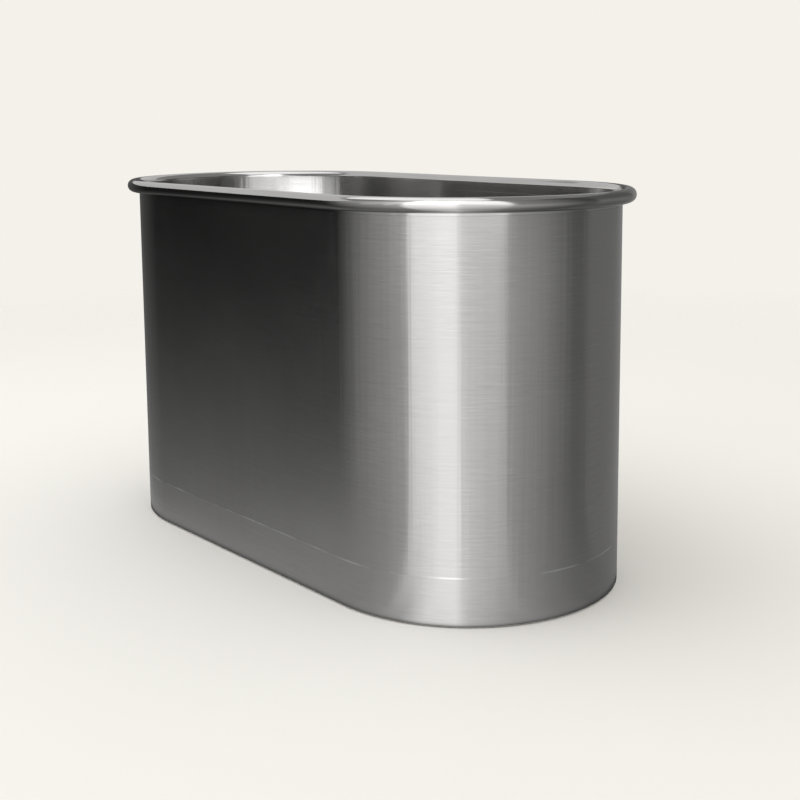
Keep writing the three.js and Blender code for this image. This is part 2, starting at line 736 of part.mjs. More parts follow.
const tub = new THREE.Group();
buildShell(tub);
buildDrain(tub);
buildPort(tub, "suction", portX, SUCTION_HEIGHT);
buildPort(tub, "return", -portX, RETURN_HEIGHT);

export default tub;
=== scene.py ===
import math

import bmesh
import bpy
from mathutils import Matrix, Vector


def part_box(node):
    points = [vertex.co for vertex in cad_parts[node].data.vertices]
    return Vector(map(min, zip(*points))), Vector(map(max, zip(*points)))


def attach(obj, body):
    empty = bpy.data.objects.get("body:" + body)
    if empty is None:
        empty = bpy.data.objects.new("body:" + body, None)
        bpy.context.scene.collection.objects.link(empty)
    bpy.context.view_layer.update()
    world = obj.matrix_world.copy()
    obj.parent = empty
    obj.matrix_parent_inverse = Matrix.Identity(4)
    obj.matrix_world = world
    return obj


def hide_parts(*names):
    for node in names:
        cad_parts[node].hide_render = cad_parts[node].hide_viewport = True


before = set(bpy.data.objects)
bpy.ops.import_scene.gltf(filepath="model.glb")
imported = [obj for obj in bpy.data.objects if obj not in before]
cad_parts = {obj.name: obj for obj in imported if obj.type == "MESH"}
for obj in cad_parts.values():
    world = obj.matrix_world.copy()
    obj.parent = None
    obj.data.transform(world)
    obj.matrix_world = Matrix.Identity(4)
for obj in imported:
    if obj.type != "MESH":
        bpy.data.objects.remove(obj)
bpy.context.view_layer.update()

scene = bpy.context.scene
TAU = 2 * math.pi
MM = 0.001

# Sizes in millimetres, in the frame of the CAD part
HALF_STRAIGHT = 300
INNER_R = 275
INSIDE_LIMIT = 275.3
SHEET = 1.5
WALL_TOP = 669.7
FOOT_EDGE = -23.5
FOOT_FLAT = -14.0
RIM_FOOT = 670.3
RIM_LEG_TOP = 678
BEAD_R = 12.5
BEAD_Z = 687.5
FLOOR_Z = 84
FLOOR_SHEET = 2
DISH_DEPTH = 8.6
DRAIN_X = -165
DRAIN_LINE_Z = 30.5
VALVE_Y = 318.656
LINES = {"drain": (DRAIN_X, DRAIN_LINE_Z), "suction": (165, 175), "return": (-165, 420)}

# Radii and widths that the fittings share
BORE = 9.5
PIPE = 13
FIT = 13.3
GROMMET_HOLE = 16.6
FLANGE = 22
SOCKET_END = 17.3
NUT_ACROSS = 38
SCREW_X = 28.5
STEM_FIT = 5.3
LEVER_FIT = 3.8
NEARLY_ZERO = 0.01

# Drain elbow: where it starts, its straight leg and the radius of its bend
ELBOW_TOP = 64.8
ELBOW_LEG = 12
BEND_R = 22.3
BEND_LENGTH = BEND_R * math.pi / 2

# Faces round a turned piece
COARSE, MEDIUM, FINE = 56, 64, 72


# ---------------------------------------------------------------- materials
class Shader:
    """A node material, and short ways to make the nodes that the finishes share."""

    def __init__(self, name):
        self.material = bpy.data.materials.new(name)
        self.material.use_nodes = True
        self.tree = self.material.node_tree
        self.tree.nodes.clear()
        self.out = self.node("ShaderNodeOutputMaterial")
        self.bsdf = self.node("ShaderNodeBsdfPrincipled")
        self.link(self.bsdf.outputs[0], self.out.inputs[0])
        self.where = self.node("ShaderNodeTexCoord").outputs["Object"]

    def node(self, kind, **settings):
        made = self.tree.nodes.new(kind)
        for key, value in settings.items():
            setattr(made, key, value)
        return made

    def link(self, out, into):
        self.tree.links.new(out, into)

    def put(self, into, value):
        if hasattr(value, "is_output"):
            self.link(value, into)
        else:
            into.default_value = value

    def math(self, operation, a, b=0.0):
        made = self.node("ShaderNodeMath", operation=operation)
        for socket, value in zip(made.inputs, (a, b)):
            self.put(socket, value)
        return made.outputs[0]

    def upward(self, vector):
        """The Z part of a vector."""
        made = self.node("ShaderNodeSeparateXYZ")
        self.link(vector, made.inputs[0])
        return made.outputs[2]

    def noise(self, scale, detail, roughness, stretch=(1, 1, 1)):
        place = self.node("ShaderNodeMapping")
        self.link(self.where, place.inputs["Vector"])
        place.inputs["Scale"].default_value = stretch
        made = self.node("ShaderNodeTexNoise")
        self.link(place.outputs[0], made.inputs["Vector"])
        made.inputs["Scale"].default_value = scale
        made.inputs["Detail"].default_value = detail
        made.inputs["Roughness"].default_value = roughness
        return made.outputs["Fac"]

    def span(self, value, low, high, to_low, to_high):
        made = self.node("ShaderNodeMapRange")
        for socket, number in zip(made.inputs[:5], (value, low, high, to_low, to_high)):
            self.put(socket, number)
        return made.outputs[0]

    def blend(self, factor, a, b):
        made = self.node("ShaderNodeMix", data_type="RGBA")
        self.put(made.inputs[0], factor)
        self.put(made.inputs[6], a)
        self.put(made.inputs[7], b)
        return made.outputs[2]

    def bump(self, height, distance, strength, onto=None):
        made = self.node("ShaderNodeBump")
        made.inputs["Strength"].default_value = strength
        made.inputs["Distance"].default_value = distance
        self.link(height, made.inputs["Height"])
        if onto is not None:
            self.link(onto, made.inputs["Normal"])
        return made.outputs[0]

    def set(self, **inputs):
        for key, value in inputs.items():
            self.put(self.bsdf.inputs[key.replace("_", " ")], value)
        return self.material

    def recolour(self, factor, colour):
        """Blends a colour over the base colour so far."""
        base = self.bsdf.inputs["Base Color"].links[0].from_socket
        return self.set(Base_Color=self.blend(factor, base, colour))


def grey(level, warm=0.0):
    return (level * (1 + warm), level, level * (1 - warm), 1)


def brushed(name, level, rough, brush, lines, anisotropic, upright=False, sway=0.0):
    """Brushed sheet: brush is how the grain is stretched, so that it runs along the small numbers.

    lines is how far the grain varies the roughness, upright stretches highlights up the wall, and sway is the
    depth of the sheet's faint waviness.
    """
    s = Shader(name)
    fine = s.noise(1.0, 2, 0.5, brush)
    coarse = s.noise(0.35, 3, 0.6, brush)
    cloud = s.noise(5.0, 4, 0.6)
    patches = s.span(s.noise(9.0, 3, 0.6), 0.35, 0.65, 0.3, 1.0)
    marks = s.noise(17.0, 4, 0.65)
    grain = s.math("ADD", s.math("MULTIPLY", fine, 0.55), s.math("MULTIPLY", coarse, 0.45))
    lined = s.math("MULTIPLY", s.math("SUBTRACT", grain, 0.5), patches)
    tone = s.math("ADD", s.span(lined, -0.2, 0.2, 0.0, 0.8), s.span(cloud, 0.3, 0.7, 0.0, 0.2))
    colour = s.blend(tone, grey(level * 0.87, 0.012), grey(level * 1.11, 0.004))
    wear = s.span(marks, 0.5, 0.8, 0.0, 0.03)
    roughness = s.math("ADD", s.span(lined, -0.2, 0.2, rough - lines, rough + lines),
                       s.math("ADD", wear, s.span(cloud, 0.3, 0.7, -0.02, 0.03)))
    normal = s.bump(grain, 0.00006, 0.5)
    if sway:
        streaks = s.noise(1.0, 3, 0.6, (26, 26, 0.5))
        normal = s.bump(streaks, sway, 1.0, normal)
    s.set(Base_Color=colour, Metallic=1.0, Roughness=roughness, Normal=normal)
    s.bsdf.inputs["Anisotropic"].default_value = anisotropic
    if upright:
        across = s.node("ShaderNodeCombineXYZ")
        across.inputs[2].default_value = 1
        s.link(across.outputs[0], s.bsdf.inputs["Tangent"])
    return s


def wall_finish():
    """The wall's brushed sheet, with a broken lighter line painted along the floor's weld as a highlight on its
    swelling.
    """
    s = brushed("brushed_wall", level=0.60, rough=0.21, brush=(36, 36, 1300), lines=0.03, anisotropic=0.7,
                upright=True, sway=0.0008)
    off_weld = s.math("ABSOLUTE", s.math("SUBTRACT", s.upward(s.where), MM * FLOOR_Z))
    # painted highlight: a lighter colour in a broken line at the weld's height
    painted_weld_highlight = s.math("MULTIPLY", s.span(off_weld, 0.0006, 0.0022, 1.0, 0.0),
                    s.span(s.noise(14.0, 2, 0.5), 0.42, 0.6, 0.0, 1.0))
    return s.recolour(painted_weld_highlight, grey(0.86))


def rim_finish():
    """The rim's polished steel, its downward-facing side darkened by painted shade."""
    s = brushed("polished_rim", level=0.66, rough=0.10, brush=(12, 12, 700), lines=0.03, anisotropic=0.0,
                upright=True)
    facing = s.upward(s.node("ShaderNodeTexCoord").outputs["Normal"])
    # painted shade: the colour darkens where the surface faces down
    painted_underside_shade = s.span(facing, -0.45, -0.05, 1.0, 0.0)
    return s.recolour(s.math("MULTIPLY", painted_underside_shade, 0.8), grey(0.30, 0.01))


def cast(name, level, rough, pit):
    """Cast or turned steel: pit is the depth of its skin's texture in metres."""
    s = Shader(name)
    skin = s.noise(900, 3, 0.6)
    tone = s.noise(60, 4, 0.6)
    colour = s.blend(s.span(tone, 0.3, 0.7, 0, 1), grey(level * 0.9, 0.02), grey(level * 1.06, 0.01))
    roughness = s.math("ADD", s.span(skin, 0.3, 0.7, rough - 0.05, rough + 0.07),
                       s.span(tone, 0.3, 0.7, -0.03, 0.04))
    return s.set(Base_Color=colour, Metallic=1.0, Roughness=roughness,
                 Normal=s.bump(skin, pit, 0.6))


def soft(name, dark, light, rough, grain, depth):
    """Rubber or plastic between two colours, with some dust: grain and depth are its skin's texture."""
    s = Shader(name)
    skin = s.noise(grain, 3, 0.6)
    tone = s.noise(45, 4, 0.6)
    dust = s.span(s.noise(150, 3, 0.7), 0.6, 0.78, 0.0, 0.25)
    colour = s.blend(s.span(tone, 0.3, 0.7, 0, 1), (*dark, 1), (*light, 1))
    colour = s.blend(dust, colour, (*[c * 0.6 + 0.12 for c in light], 1))
    roughness = s.math("ADD", s.span(skin, 0.3, 0.7, rough - 0.08, rough + 0.08), dust)
    return s.set(Base_Color=colour, Roughness=roughness, Normal=s.bump(skin, depth, 0.6))


wall_steel = wall_finish()
# painted shade: the inside's steel is the wall's brushed steel at a darker level, 0.50 against 0.60
shaded_inside_steel = brushed("brushed_inside", level=0.50, rough=0.22, brush=(30, 30, 1300), lines=0.02,
                       anisotropic=0.7, upright=True, sway=0.0006).material
floor_steel = brushed("brushed_floor", level=0.60, rough=0.32, brush=(14, 900, 900), lines=0.05,
                      anisotropic=0.5).material
rim_steel = rim_finish()
mill_steel = brushed("mill_steel", level=0.52, rough=0.42, brush=(300, 30, 300), lines=0.06,
                     anisotropic=0.3).material
cast_steel = cast("cast_steel", level=0.52, rough=0.36, pit=0.00018)
turned_steel = cast("turned_steel", level=0.62, rough=0.22, pit=0.00004)
rubber = soft("epdm_rubber", dark=(0.012, 0.012, 0.013), light=(0.025, 0.025, 0.026), rough=0.62, grain=700,
              depth=0.0002)
ptfe = soft("ptfe", dark=(0.72, 0.72, 0.70), light=(0.80, 0.80, 0.78), rough=0.45, grain=500, depth=0.0001)
vinyl = soft("blue_vinyl", dark=(0.010, 0.055, 0.24), light=(0.016, 0.075, 0.30), rough=0.38, grain=420,
             depth=0.00015)


# ---------------------------------------------------------------- mesh helpers
def mesh_of(name, verts, faces):
    mesh = bpy.data.meshes.new(name)
    mesh.from_pydata([tuple(MM * c for c in v) for v in verts], [], faces)
    return mesh


def piece(name, shape, material, replaced=(), body="tub", slot=None, sharp=32):
    """A piece from (vertices in millimetres, faces)."""
    return place(name, mesh_of(name, *shape), material, replaced, body, slot, sharp)


def place(name, mesh, material, replaced=(), body="tub", slot=None, sharp=32):
    """A piece from a mesh; the slot of the node it replaces, unless one is given, is looked up but not used."""
    bm = bmesh.new()
    bm.from_mesh(mesh)
    bmesh.ops.remove_doubles(bm, verts=bm.verts, dist=1e-7)
    bmesh.ops.recalc_face_normals(bm, faces=bm.faces)
    bm.to_mesh(mesh)
    bm.free()
    mesh.shade_smooth()
    mesh.set_sharp_from_angle(angle=math.radians(sharp))
    mesh.materials.clear()
    mesh.materials.append(material)
    obj = bpy.data.objects.new(name, mesh)
    scene.collection.objects.link(obj)
    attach(obj, body)
    if replaced:
        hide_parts(*replaced)
        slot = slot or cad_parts[replaced[0]].data.materials[0].name.split(".")[0]
    return obj


def grid_faces(rings, around, closed_rings, closed_around=True):
    faces = []
    last = rings if closed_rings else rings - 1
    turns = around if closed_around else around - 1
    for i in range(last):
        j = (i + 1) % rings
        for k in range(turns):
            m = (k + 1) % around
            faces.append((i * around + k, i * around + m, j * around + m, j * around + k))
    return faces


def arc(cx, cz, r, a0, a1, n):
    """Points round a centre from one angle in degrees to another."""
    return [(cx + r * math.cos(math.radians(a0 + (a1 - a0) * i / n)),
             cz + r * math.sin(math.radians(a0 + (a1 - a0) * i / n))) for i in range(n + 1)]


def circle(r, n, cx=0.0, cy=0.0):
    return [(cx + r * math.cos(TAU * i / n), cy + r * math.sin(TAU * i / n)) for i in range(n)]


def stations(per_end=112, per_side=36):
    """Round the tub's plan: the centre that each station turns about, and its outward direction."""
    made = []
    for side in (1, -1):
        start = 0 if side > 0 else math.pi
        for i in range(per_end):
            a = start - math.pi / 2 + math.pi * i / per_end
            made.append((side * HALF_STRAIGHT, math.cos(a), math.sin(a)))
        for i in range(per_side):
            made.append((side * HALF_STRAIGHT * (1 - 2 * i / per_side), 0.0, float(side)))
    return made


PLAN = stations()


def plan_ring(outward, z):
    """The tub's plan at a height, moved outward from the wall's inner face."""
    return [(cx + (INNER_R + outward) * dx, (INNER_R + outward) * dy, z) for cx, dx, dy in PLAN]


def round_tub(section):
    """A closed section of (outward from the wall's inner face, height) taken round the tub."""
    verts = [point for outward, z in section for point in plan_ring(outward, z)]
    return verts, grid_faces(len(section), len(PLAN), True)


def prism(section, y0, y1):
    """A section of (x, z) drawn out along Y."""
    n = len(section)
    verts = [(x, y, z) for y in (y0, y1) for x, z in section]
    faces = [(i, (i + 1) % n, n + (i + 1) % n, n + i) for i in range(n)]
    return verts, faces + [tuple(range(n)), tuple(range(2 * n - 1, n - 1, -1))]


def straight_axis(origin, axis):
    """Where a turned profile's heights lie along a straight axis that is square to X."""
    along = Vector(axis)
    u = Vector((1, 0, 0))
    v = along.cross(u)
    base = Vector(origin)
    return lambda h: (base + h * along, u, v)


def turn(profile, where, segments, closed=True):
    """A profile of (radius, height) turned about an axis; either may be a function of the angle."""
    verts = []
    for r, h in profile:
        for k in range(segments):
            a = TAU * k / segments
            radius = r(a) if callable(r) else r
            height = h(a) if callable(h) else h
            o, u, v = where(height)
            verts.append(o + radius * (math.cos(a) * u + math.sin(a) * v))
    return verts, grid_faces(len(profile), segments, closed)


def ring(inner, outer, start, end, where, segments, edge):
    """A flat ring or sleeve with rounded edges, turned about an axis."""
    return turn(rounded([(inner, start), (outer, start), (outer, end), (inner, end)], edge), where, segments)


def joined(*shapes):
    verts, faces = [], []
    for more_verts, more_faces in shapes:
        faces += [tuple(i + len(verts) for i in face) for face in more_faces]
        verts += list(more_verts)
    return verts, faces


def rounded(profile, r, steps=2):
    """The same closed profile with its corners rounded."""
    made, n = [], len(profile)
    for i, (x, y) in enumerate(profile):
        a, b, c = Vector(profile[i - 1]), Vector((x, y)), Vector(profile[(i + 1) % n])
        ab, cb = a - b, c - b
        cut = min(r, 0.45 * ab.length, 0.45 * cb.length)
        p, q = b + ab.normalized() * cut, b + cb.normalized() * cut
        for k in range(steps + 1):
            t = k / steps
            point = (1 - t) ** 2 * p + 2 * t * (1 - t) * b + t ** 2 * q
            made.append((point.x, point.y))
    return made


def hex_reach(flat, a):
    """How far a hexagon reaches at an angle, from half its width across flats."""
    return flat / math.cos((a + math.pi / 6) % (math.pi / 3) - math.pi / 6)


def hexagon(across, bottom, top, bore, where, segments=96):
    """A nut with chamfered corners and countersunk bore."""
    flat = across / 2
    shoulder = 0.985 * flat
    sink = 0.9

    def reach(a):
        return hex_reach(flat, a)

    def drop(a):
        return max(0.0, reach(a) - shoulder) * 0.5

    return turn([
        (bore, bottom + sink), (bore + sink, bottom), (shoulder, bottom),
        (reach, lambda a: bottom + drop(a)), (reach, lambda a: top - drop(a)),
        (shoulder, top), (bore + sink, top), (bore, top - sink),
    ], where, segments)


def cut_sheet(outlines, bottom, top, bevel, matrix):
    """A flat sheet with holes and softly rounded edges, as a mesh."""
    curve = bpy.data.curves.new("cut", "CURVE")
    curve.dimensions = "2D"
    curve.fill_mode = "BOTH"
    curve.extrude = 0.5 * MM * (top - bottom) - MM * bevel
    curve.bevel_depth = MM * bevel
    curve.bevel_resolution = 2
    curve.offset = -MM * bevel
    for outline in outlines:
        spline = curve.splines.new("POLY")
        spline.points.add(len(outline) - 1)
        for point, (x, y) in zip(spline.points, outline):
            point.co = (MM * x, MM * y, 0, 1)
        spline.use_cyclic_u = True
    holder = bpy.data.objects.new("cut", curve)
    scene.collection.objects.link(holder)
    bpy.context.view_layer.update()
    mesh = bpy.data.meshes.new_from_object(
        holder.evaluated_get(bpy.context.evaluated_depsgraph_get()))
    bpy.data.objects.remove(holder)
    bpy.data.curves.remove(curve)
    mesh.transform(matrix @ Matrix.Translation((0, 0, 0.5 * MM * (bottom + top))))
    return mesh


def slot_outline(length, width, y):
    r = width / 2
    half = length / 2 - r
    angles = [math.radians(a) for a in range(-90, 91, 15)]
    return ([(half + r * math.cos(a), y + r * math.sin(a)) for a in angles]
            + [(-half - r * math.cos(a), y - r * math.sin(a)) for a in angles])


def slots_within(radius, width, pitch):
    """Five parallel slots that end on a circle."""
    rows = [step * pitch for step in (-2, -1, 0, 1, 2)]
    return [slot_outline(2 * math.sqrt(radius ** 2 - y * y), width, y) for y in rows]


def cut_holes(obj, cutters):
    """Cuts open tubes out of obj's mesh, and leaves one clean mesh behind."""
    for verts, faces in cutters:
        mesh = mesh_of("cutter", verts, faces)
        bm = bmesh.new()
        bm.from_mesh(mesh)
        bmesh.ops.holes_fill(bm, edges=bm.edges)
        bmesh.ops.recalc_face_normals(bm, faces=bm.faces)
        bm.to_mesh(mesh)
        bm.free()
        holder = bpy.data.objects.new("cutter", mesh)
        scene.collection.objects.link(holder)
        modifier = obj.modifiers.new("cut", "BOOLEAN")
        modifier.operation = "DIFFERENCE"
        modifier.solver = "EXACT"
        modifier.object = holder
        bpy.context.view_layer.update()
        made = bpy.data.meshes.new_from_object(
            obj.evaluated_get(bpy.context.evaluated_depsgraph_get()))
        obj.modifiers.clear()
        obj.data = made
        bpy.data.objects.remove(holder)


def finish_inside(obj):
    """Gives the faces on the tub's inner side, up to the bead, the inside's finish, whose darker colour is painted
    shade.
    """
    obj.data.materials.append(shaded_inside_steel)
    half_straight = MM * HALF_STRAIGHT
    for face in obj.data.polygons:
        x, y, z = face.center
        cx = max(-half_straight, min(half_straight, x))
        if z < MM * BEAD_Z and math.hypot(x - cx, y) < MM * INSIDE_LIMIT:
            face.material_index = 1


# ---------------------------------------------------------------- tub shell
# The floor's weld shows as a faint swelling of the wall: (height, swelling)
TRACE = [(81.5, 0.0), (82.6, 0.05), (83.4, 0.13), (84.0, 0.17), (84.6, 0.13), (85.4, 0.05), (86.5, 0.0)]
OUTER_LEVELS = [(z, 0.0) for z in (30, 56)] + TRACE + [
    (z, 0.0) for z in (120, 180, 250, 320, 400, 480, 560, 620, 655)]
INNER_LEVELS = (560, 400, 250, 120, 84, 30)

wall_section = (
    [(FOOT_EDGE, 0.0), (FOOT_FLAT, 0.0)] + arc(SHEET - 4, 4, 4, -90, 0, 8)
    + [(SHEET + swelling, z) for z, swelling in OUTER_LEVELS] + [(SHEET, WALL_TOP), (0, WALL_TOP)]
    + [(0, z) for z in INNER_LEVELS] + arc(-2.5, 4, 2.5, 0, -90, 6)
    + [(FOOT_FLAT, SHEET), (FOOT_EDGE, SHEET)]
)
wall = piece("wall_sheet", round_tub(wall_section), wall_steel, ["tub_wall"])
wall_holes = []
for line, (x, z) in LINES.items():
    radius = GROMMET_HOLE if line == "drain" else FIT
    wall_holes.append(turn([(radius, 262), (radius, 290)], straight_axis((x, 0, z), (0, 1, 0)), MEDIUM, False))
cut_holes(wall, wall_holes)
finish_inside(wall)

lip = -math.degrees(math.acos((SHEET + 1 - BEAD_R) / BEAD_R))
rim_section = (
    [(0.0, RIM_FOOT), (0.0, RIM_LEG_TOP)] + arc(BEAD_R, BEAD_Z, BEAD_R, 180, lip, 60)
    + arc(BEAD_R, BEAD_Z, BEAD_R - SHEET, lip, 180, 40) + [(SHEET, RIM_LEG_TOP), (SHEET, RIM_FOOT)]
)
finish_inside(piece("rolled_rim", round_tub(rim_section), rim_steel, ["rim_bead"]))

weld_section = [(0.74 + 0.7 * math.cos(TAU * i / 12), 669.9 + 0.9 * math.sin(TAU * i / 12)) for i in range(12)]
piece("rim_weld", round_tub(weld_section), shaded_inside_steel, slot="brushed_steel")

WELD_FOOT = FLOOR_Z - 0.6
cove = [(-0.02, WELD_FOOT)] + arc(-6.2, FLOOR_Z + 6.2, 6.1, 0, -90, 6) + [(-6.2, WELD_FOOT)]
piece("floor_weld", round_tub(cove), floor_steel, slot="brushed_steel")


def floor_mesh():
    """The floor's sheet: a turned-down edge, a flat and a dished seat for the drain, thickened downwards."""
    bm = bmesh.new()
    dish_segments = 96

    def loop_of(points):
        made = [bm.verts.new((MM * x, MM * y, MM * z)) for x, y, z in points]
        return made, [bm.edges.new((made[i - 1], made[i])) for i in range(len(made))]

    def bridge(loops):
        for (a, _), (b, _) in zip(loops, loops[1:]):
            for i in range(len(a)):
                bm.faces.new((a[i - 1], a[i], b[i], b[i - 1]))

    edge = [(-0.3, 59.0), (-0.3, 70.0)] + arc(-6.3, FLOOR_Z - 6, 6, 0, 90, 6) + [(-9.0, FLOOR_Z)]
    edges = [loop_of(plan_ring(outward, z)) for outward, z in edge]
    bridge(edges)
    dish = [(62.0, 0.0)]
    for i in range(9):
        t = i / 8
        dish.append((60 - 15 * t, -DISH_DEPTH * (3 * t * t - 2 * t ** 3)))
    dish += [(43.0, -DISH_DEPTH), (FIT, -DISH_DEPTH)]
    bowls = [loop_of([(x, y, FLOOR_Z + d) for x, y in circle(r, dish_segments, DRAIN_X)]) for r, d in dish]
    bridge(bowls)
    bmesh.ops.triangle_fill(bm, use_beauty=True, edges=edges[-1][1] + bowls[0][1], normal=(0, 0, 1))
    bmesh.ops.recalc_face_normals(bm, faces=bm.faces)
    if sum(f.normal.z * f.calc_area() for f in bm.faces) < 0:
        bmesh.ops.reverse_faces(bm, faces=bm.faces)
    below = bmesh.ops.duplicate(bm, geom=list(bm.faces))
    twins = {v: below["vert_map"][v] for v in list(bm.verts) if v in below["vert_map"]}
    for source, twin in twins.items():
        twin.co = source.co - MM * FLOOR_SHEET * source.normal
    bmesh.ops.reverse_faces(bm, faces=[f for f in below["geom"] if isinstance(f, bmesh.types.BMFace)])
    for loop in (edges[0][0], bowls[-1][0]):
        for i in range(len(loop)):
            a, b = loop[i - 1], loop[i]
            if a in twins and b in twins:
                bm.faces.new((a, b, twins[b], twins[a]))
    mesh = bpy.data.meshes.new("floor")
    bm.normal_update()
    bm.to_mesh(mesh)
    bm.free()
    return mesh


place("floor_plate", floor_mesh(), floor_steel, ["floor_pan"])

# Closing weld of the wall's sheet, dressed nearly flush, at the middle of the rear side
SEAM_ROWS, SEAM_COLUMNS = 80, 9
SEAM_FOOT, SEAM_TOP = 20, 664
seam = []
for i in range(SEAM_ROWS):
    z = SEAM_FOOT + (SEAM_TOP - SEAM_FOOT) * i / (SEAM_ROWS - 1)
    ripple = 0.85 + 0.15 * (i % 2)
    for k in range(SEAM_COLUMNS):
        a = math.pi * k / (SEAM_COLUMNS - 1)
        seam.append((-2.2 * math.cos(a), INNER_R + SHEET - 0.05 + 0.3 * math.sin(a) * ripple, z))
piece("seam_weld", (seam, grid_faces(SEAM_ROWS, SEAM_COLUMNS, False, False)), mill_steel, slot="mill_steel")


# ---------------------------------------------------------------- channels and strips
def mirrored(points):
    return [(-x, z) for x, z in reversed(points)]


def channel(x, length):
    """A hat section under the floor, with bent corners."""
    outside = [(50, 10.3), (50, 12.3), (30, 12.3), (30, 81.7)]
    inside = [(28, 79.7), (28, 10.3)]
    section = rounded(outside + mirrored(outside) + mirrored(inside) + inside, 1.6, 4)
    return prism([(x + a, z) for a, z in section], -length / 2, length / 2)


def strip(low, high, ribs=10):
    """A rubber strip that fills a box, ribbed underneath."""
    x0, x1 = 1000 * low.x, 1000 * high.x
    step = (x1 - x0) / ribs
    under = []
    for i in range(ribs):
        c = x0 + step * (i + 0.5)
        under += [(c - 0.33 * step, 0), (c + 0.33 * step, 0), (c + 0.4 * step, 1.8), (c + 0.6 * step, 1.8)]
    top = [(x1, 0.8), (x1, 9.4), (x1 - 0.6, 10), (x0 + 0.6, 10), (x0, 9.4), (x0, 0.8)]
    return prism(top + under[:-2], 1000 * low.y, 1000 * high.y)


for spot, x, length in (("left", -330, 443.7), ("middle", 0, 470), ("right", 330, 443.7)):
    piece("channel_" + spot, channel(x, length), mill_steel, ["support_channel_" + spot])
    piece("strip_" + spot, strip(*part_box("foot_strip_" + spot)), rubber,
          ["foot_strip_" + spot])

# ---------------------------------------------------------------- drain
drain_axis = straight_axis((DRAIN_X, 0, 0), (0, 0, 1))
piece("drain_seal", ring(FIT, 42, 75.7, 77.7, drain_axis, FINE, 0.6), rubber, ["drain_gasket"])
drain_cup = rounded([
    (BORE, 53.1), (PIPE, 53.1), (PIPE, 78), (42, 78), (42, FLOOR_Z), (34.3, FLOOR_Z), (34.3, 81.7), (23, 81.7),
    (BORE, 74)], 0.5)
piece("drain_cup", turn(drain_cup, drain_axis, 96), turned_steel, ["drain_body"])
piece("drain_nut", hexagon(NUT_ACROSS, 65.1, 73.1, FIT, drain_axis), turned_steel, ["drain_locknut"])
screw_holes = [circle(1.8, 20, sx) for sx in (-SCREW_X, SCREW_X)]
grate_mesh = cut_sheet([circle(34, 96)] + slots_within(20.5, 4, 7) + screw_holes, 82, FLOOR_Z, 0.35,
                       Matrix.Translation((MM * DRAIN_X, 0, 0)))
place("drain_grille", grate_mesh, turned_steel, ["drain_grate"])


def key_socket(a):
    """The screw head's hexagon socket."""
    return hex_reach(1.25, a)


for side, sx in (("left", -SCREW_X), ("right", SCREW_X)):
    low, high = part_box("grate_screw_" + side)
    head, tip = 1000 * high.z, 1000 * low.z
    screw = [(NEARLY_ZERO, tip), (1.5, tip), (1.5, head - 2), (3, head - 2), (3, head - 1.2), (2.6, head - 0.5),
             (1.9, head), (key_socket, head), (key_socket, head - 1.3), (NEARLY_ZERO, head - 1.5)]
    screw_axis = straight_axis((DRAIN_X + sx, 0, 0), (0, 0, 1))
    piece("grate_bolt_" + side, turn(screw, screw_axis, 48, False), turned_steel, ["grate_screw_" + side])


def elbow_axis(h):
    """Down from the drain, round a quarter bend, then out along +Y."""
    x_axis = Vector((1, 0, 0))
    bend_z = ELBOW_TOP - ELBOW_LEG
    if h <= ELBOW_LEG:
        return Vector((DRAIN_X, 0, ELBOW_TOP - h)), x_axis, Vector((0, 1, 0))
    if h <= ELBOW_LEG + BEND_LENGTH:
        a = (h - ELBOW_LEG) / BEND_R
        centre = Vector((DRAIN_X, BEND_R - BEND_R * math.cos(a), bend_z - BEND_R * math.sin(a)))
        return centre, x_axis, Vector((0, math.cos(a), math.sin(a)))
    return Vector((DRAIN_X, BEND_R + h - ELBOW_LEG - BEND_LENGTH, bend_z - BEND_R)), x_axis, Vector((0, 0, 1))


def elbow_profile(steps=14):
    """The elbow's wall along its axis, with a thicker collar at each end."""
    _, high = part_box("drain_elbow")
    bend_end = ELBOW_LEG + BEND_LENGTH
    end = bend_end + (1000 * high.y - BEND_R)
    neck = 16.2
    outside = [(SOCKET_END, 0), (SOCKET_END, 9), (neck, 10)]
    outside += [(neck, 10 + (bend_end - 8) * i / steps) for i in range(1, steps + 1)]
    outside += [(SOCKET_END, bend_end + 3), (SOCKET_END, end)]
    inside = [(FIT, end)] + [(FIT, end * (1 - i / steps)) for i in range(1, steps + 1)]
    return outside + inside


piece("drain_bend", turn(elbow_profile(), elbow_axis, COARSE), cast_steel, ["drain_elbow"])
outlet_axis = straight_axis((DRAIN_X, 0, DRAIN_LINE_Z), (0, 1, 0))
low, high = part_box("drain_pipe")
piece("drain_tube", ring(BORE, PIPE, 1000 * low.y, 1000 * high.y, outlet_axis, MEDIUM, 0.5), mill_steel,
      ["drain_pipe"])
low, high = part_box("skirt_grommet")
inner_end, outer_end = 1000 * low.y, 1000 * high.y
grommet = rounded([
    (FIT, inner_end), (20.3, inner_end), (20.3, 274.7), (16.3, 274.7), (16.3, 276.8), (20.3, 276.8),
    (20.3, outer_end), (FIT, outer_end)], 0.8, 3)
piece("skirt_seal", turn(grommet, outlet_axis, MEDIUM), rubber, ["skirt_grommet"])


